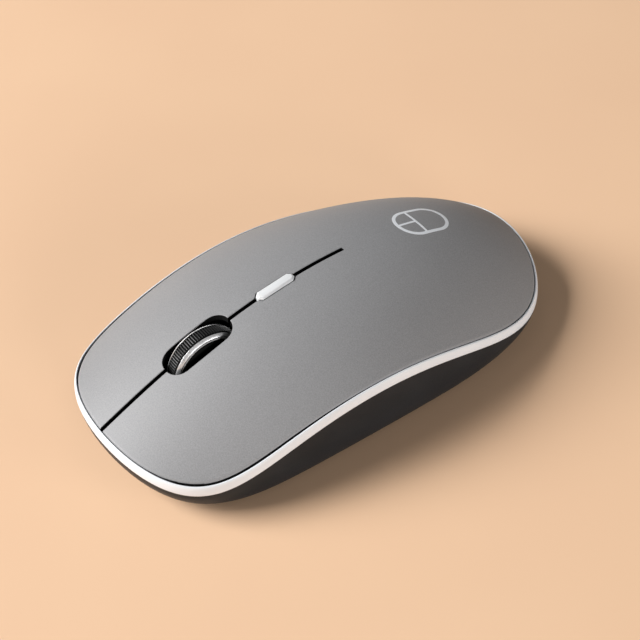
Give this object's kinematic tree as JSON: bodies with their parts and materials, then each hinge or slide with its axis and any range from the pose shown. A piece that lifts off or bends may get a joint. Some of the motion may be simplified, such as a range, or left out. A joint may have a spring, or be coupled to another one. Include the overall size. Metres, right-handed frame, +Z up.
{
  "type": "computer mouse",
  "caption": "Slim wireless computer mouse: domed two-key top cover, pale wavy rim band, black undercut bottom shell, scroll wheel and resolution button.",
  "frame": {"origin": "on the desk, under the centre of the outline", "axes": "+Z up; +Y towards the tail (palm end), so the nose with the keys and wheel points to -Y; +X towards the user's left"},
  "size_m": [0.0588, 0.112, 0.0275],
  "materials": {
    "cover_paint": "satin metallic grey paint with a fine grain",
    "rim_silver": "pale silver, satin",
    "shell_black": "black, satin to matte",
    "foot_plastic": "smooth slippery plastic",
    "inner_black": "matte black",
    "tyre_rubber": "finely ribbed",
    "bright_chrome": "polished plating",
    "encoder_plastic": "moulded",
    "button_plastic": "pale grey, satin",
    "board_green": "solder mask",
    "switch_black": "moulded",
    "plunger_plastic": "moulded",
    "chip_black": "epoxy package",
    "clear_lens": "clear moulded optic",
    "led_red": "tinted epoxy",
    "switch_metal": "pressed steel case",
    "knob_plastic": "ridged",
    "cell_wrap": "plain printed sleeve",
    "contact_metal": "nickel plated",
    "screw_steel": "zinc plated"
  },
  "bodies": {
    "root": {"battery_cells": "cell_wrap", "battery_contacts": "contact_metal", "board_components": "chip_black", "board_screws": "screw_steel", "bottom_shell": "shell_black", "case_screws": "screw_steel", "centre_frame": "inner_black", "circuit_board": "board_green", "dpi_switch_body": "switch_black", "glide_feet": "foot_plastic", "left_switch_body": "switch_black", "middle_switch_body": "switch_black", "palm_cover": "cover_paint", "power_switch_body": "switch_metal", "receiver_plug": "contact_metal", "right_switch_body": "switch_black", "rim_band": "rim_silver", "sensor_chip": "chip_black", "sensor_led": "led_red", "sensor_lens": "clear_lens", "usb_receiver": "inner_black"},
    "left_key": {"left_key": "cover_paint"},
    "right_key": {"right_key": "cover_paint"},
    "left_plunger": {"left_switch_plunger": "plunger_plastic"},
    "right_plunger": {"right_switch_plunger": "plunger_plastic"},
    "cradle": {"wheel_cradle": "inner_black", "encoder_body": "encoder_plastic"},
    "wheel": {"scroll_hub": "inner_black", "scroll_tyre": "tyre_rubber", "scroll_rings": "bright_chrome"},
    "middle_plunger": {"middle_switch_plunger": "plunger_plastic"},
    "dpi": {"dpi_button": "button_plastic"},
    "dpi_plunger": {"dpi_switch_plunger": "plunger_plastic"},
    "power": {"power_knob": "knob_plastic"},
    "door": {"battery_door": "shell_black"}
  },
  "joints": [
    {"name": "left_key_press", "type": "hinge", "parent": "root", "child": "left_key", "pos_m": [0, 0.0075, 0.0255], "axis": [1, 0, 0], "range_deg": [0, 0.75], "stiffness_Nm_per_rad": 0.8, "springref_deg": -0.23},
    {"name": "right_key_press", "type": "hinge", "parent": "root", "child": "right_key", "pos_m": [0, 0.0075, 0.0255], "axis": [1, 0, 0], "range_deg": [0, 0.75], "stiffness_Nm_per_rad": 0.8, "springref_deg": -0.23},
    {"name": "left_switch_travel", "type": "slide", "parent": "root", "child": "left_plunger", "axis": [0, 0, -1], "range_m": [0, 0.0006]},
    {"name": "right_switch_travel", "type": "slide", "parent": "root", "child": "right_plunger", "axis": [0, 0, -1], "range_m": [0, 0.0006]},
    {"name": "wheel_click", "type": "hinge", "parent": "root", "child": "cradle", "pos_m": [0, -0.0179, 0.0094], "axis": [1, 0, 0], "range_deg": [0, 2], "stiffness_Nm_per_rad": 0.35, "springref_deg": -0.34},
    {"name": "wheel_spin", "type": "hinge", "parent": "cradle", "child": "wheel", "pos_m": [0, -0.029, 0.0149], "axis": [1, 0, 0], "continuous": true},
    {"name": "middle_switch_travel", "type": "slide", "parent": "root", "child": "middle_plunger", "axis": [0, 0, -1], "range_m": [0, 0.0003]},
    {"name": "dpi_press", "type": "slide", "parent": "root", "child": "dpi", "axis": [0, 0, -1], "range_m": [0, 0.0003], "stiffness_N_per_m": 1500, "springref_m": -0.0001},
    {"name": "dpi_switch_travel", "type": "slide", "parent": "root", "child": "dpi_plunger", "axis": [0, 0, -1], "range_m": [0, 0.0003]},
    {"name": "power_slide", "type": "slide", "parent": "root", "child": "power", "axis": [0, 1, 0], "range_m": [0, 0.0024]},
    {"name": "battery_door_swing", "type": "hinge", "parent": "root", "child": "door", "pos_m": [0, 0.00175, 0.00175], "axis": [-1, 0, 0], "range_deg": [0, 75]}
  ],
  "couplings": [
    {"joint": "left_switch_travel", "follows": "left_key_press", "m_per_rad": 0.041},
    {"joint": "right_switch_travel", "follows": "right_key_press", "m_per_rad": 0.041},
    {"joint": "middle_switch_travel", "follows": "wheel_click", "m_per_rad": 0.0085},
    {"joint": "dpi_switch_travel", "follows": "dpi_press", "ratio": 1}
  ]
}
